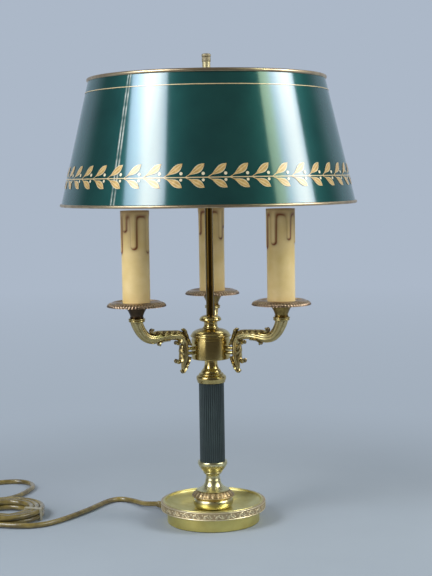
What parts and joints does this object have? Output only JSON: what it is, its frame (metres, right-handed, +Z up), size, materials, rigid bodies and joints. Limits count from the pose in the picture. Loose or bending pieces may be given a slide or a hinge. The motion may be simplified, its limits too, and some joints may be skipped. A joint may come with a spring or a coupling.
{
  "type": "bouillotte table lamp",
  "caption": "Bouillotte table lamp: round brass tray foot, fluted column, three candle arms and a sliding, swivelling lacquered cone shade on a centre rod.",
  "frame": {"origin": "centre of the foot's underside, on the table", "axes": "+Z up along the stem; the front, between the two front candles, faces -Y; the cord leaves at the rear left"},
  "size_m": [0.4209, 0.3028, 0.4514],
  "materials": {
    "felt": "pressed wool felt",
    "iron": "rough cast",
    "spun_brass": "spun and polished",
    "turned_brass": "turned and polished",
    "cast_brass": "cast, chased and rubbed",
    "cast_bronze": "cast, dull pinkish patina",
    "dark_bronze": "darkened",
    "aged_brass": "turned, aged lacquer",
    "cast_arm": "cast, aged",
    "rod_brass": "drawn and polished",
    "bead_brass": "rolled and polished",
    "column_lacquer": "dark green-grey enamel",
    "green_lacquer": "glossy green lacquer with gilt decoration",
    "steel": "zinc plated",
    "ivory_plastic": "moulded",
    "candle_card": "cream resin with wax drips",
    "gold_pvc": "extruded gold PVC",
    "gold_plug": "moulded gold plastic",
    "clear_tie": "translucent",
    "amber_plastic": "moulded",
    "amber_rocker": "moulded",
    "pin_metal": "nickel plated"
  },
  "bodies": {
    "lamp": {"felt_pad": "felt", "base_weight": "iron", "base_skirt": "spun_brass", "base_tray": "spun_brass", "base_border": "cast_brass", "strain_relief": "gold_pvc", "foot_knop": "turned_brass", "leaf_collar": "cast_bronze", "foot_bell": "turned_brass", "lower_cup": "turned_brass", "column_sleeve": "column_lacquer", "upper_bell": "aged_brass", "stem_tube": "steel", "stem_nuts": "steel", "hub_drum": "aged_brass", "hub_cap": "aged_brass", "hub_terminal": "ivory_plastic", "inner_lead": "gold_pvc", "rod_socket": "aged_brass", "centre_rod": "rod_brass", "rod_cap": "rod_brass", "arm_left": "cast_arm", "arm_right": "cast_arm", "arm_back": "cast_arm", "arm_bar_nuts": "steel", "arm_nipples": "steel", "candle_cup_left": "dark_bronze", "candle_cup_right": "dark_bronze", "candle_cup_back": "dark_bronze", "drip_pan_left": "cast_bronze", "drip_pan_right": "cast_bronze", "drip_pan_back": "cast_bronze", "lampholder_left": "ivory_plastic", "lampholder_right": "ivory_plastic", "lampholder_back": "ivory_plastic", "screw_shell_left": "turned_brass", "screw_shell_right": "turned_brass", "screw_shell_back": "turned_brass", "candle_sleeve_left": "candle_card", "candle_sleeve_right": "candle_card", "candle_sleeve_back": "candle_card", "cord_run": "gold_pvc", "cord_coil": "gold_pvc", "cord_tail": "gold_pvc", "cord_tie": "clear_tie", "switch_base": "amber_plastic", "switch_cover": "amber_plastic", "plug_body": "gold_plug", "plug_pins": "pin_metal"},
    "collar": {"slide_collar": "rod_brass", "collar_nut": "rod_brass"},
    "shade": {"shade_cone": "green_lacquer", "shade_crown_bead": "bead_brass", "shade_hem_bead": "bead_brass", "spider": "rod_brass"},
    "thumbscrew": {"thumbscrew": "rod_brass"},
    "rocker": {"switch_rocker": "amber_rocker"}
  },
  "joints": [
    {"name": "shade_height", "type": "slide", "parent": "lamp", "child": "collar", "axis": [0, 0, 1], "range_m": [-0.09, 0.022]},
    {"name": "shade_turn", "type": "hinge", "parent": "collar", "child": "shade", "pos_m": [0, 0, 0.41565], "axis": [0, 0, 1], "continuous": true},
    {"name": "thumbscrew_turn", "type": "hinge", "parent": "collar", "child": "thumbscrew", "pos_m": [0.01, 0, 0.40405], "axis": [1, 0, 0], "range_deg": [0, 450]},
    {"name": "rocker_tilt", "type": "hinge", "parent": "lamp", "child": "rocker", "pos_m": [-0.2625, 0.069, 0.011], "axis": [1, 0, 0], "range_deg": [-12, 0]}
  ]
}
